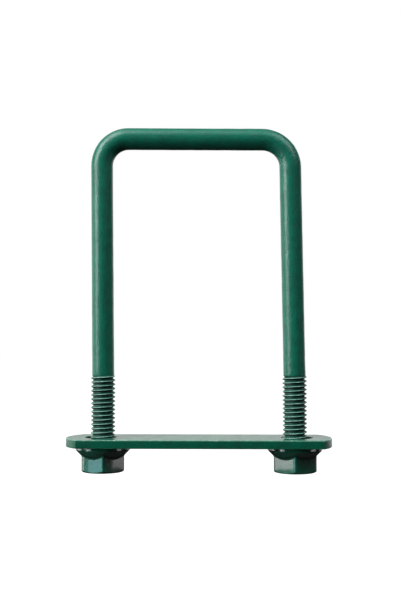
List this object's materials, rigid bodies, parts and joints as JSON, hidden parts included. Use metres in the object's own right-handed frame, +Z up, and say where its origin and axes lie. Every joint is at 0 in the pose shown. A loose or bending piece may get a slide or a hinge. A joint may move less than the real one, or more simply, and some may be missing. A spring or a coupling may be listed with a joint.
{
  "type": "square U-bolt clamp",
  "caption": "Square-bend U-bolt with threaded legs, a flat clamp plate across them and hexagon flange nuts, for clamping a fitting to a rectangular post.",
  "frame": {"origin": "on the surface that the nuts' feet stand on, midway between the two legs", "axes": "+Z up the legs towards the crown, +X along the clamp plate towards its flatter end, +Y across the plate"},
  "size_m": [0.0632, 0.015, 0.0824],
  "materials": {
    "rod_coat": "moss-green powder coat, satin gloss with a fine orange-peel grain, worn pale on the thread's crests",
    "plate_coat": "moss-green powder coat, satin, thinner and paler along sheared edges",
    "nut_coat": "dark green lacquer, glossy, with worn edges"
  },
  "bodies": {
    "u_bolt": {"threaded_u_rod": "rod_coat"},
    "clamp_plate": {"clamp_plate": "plate_coat"},
    "left_nut": {"left_flange_nut": "nut_coat"},
    "right_nut": {"right_flange_nut": "nut_coat"}
  },
  "joints": [
    {"name": "plate_slide", "type": "slide", "parent": "u_bolt", "child": "clamp_plate", "axis": [0, 0, 1], "range_m": [-0.02, 0.014]},
    {"name": "left_nut_turn", "type": "hinge", "parent": "clamp_plate", "child": "left_nut", "pos_m": [-0.0228, 0, 0.003], "axis": [0, 0, 1], "range_deg": [-7200, 5040]},
    {"name": "right_nut_turn", "type": "hinge", "parent": "clamp_plate", "child": "right_nut", "pos_m": [0.0228, 0, 0.003], "axis": [0, 0, 1], "range_deg": [-7200, 5040]}
  ],
  "couplings": [
    {"joint": "left_nut_turn", "follows": "plate_slide", "rad_per_m": 6283.2},
    {"joint": "right_nut_turn", "follows": "plate_slide", "rad_per_m": 6283.2}
  ]
}
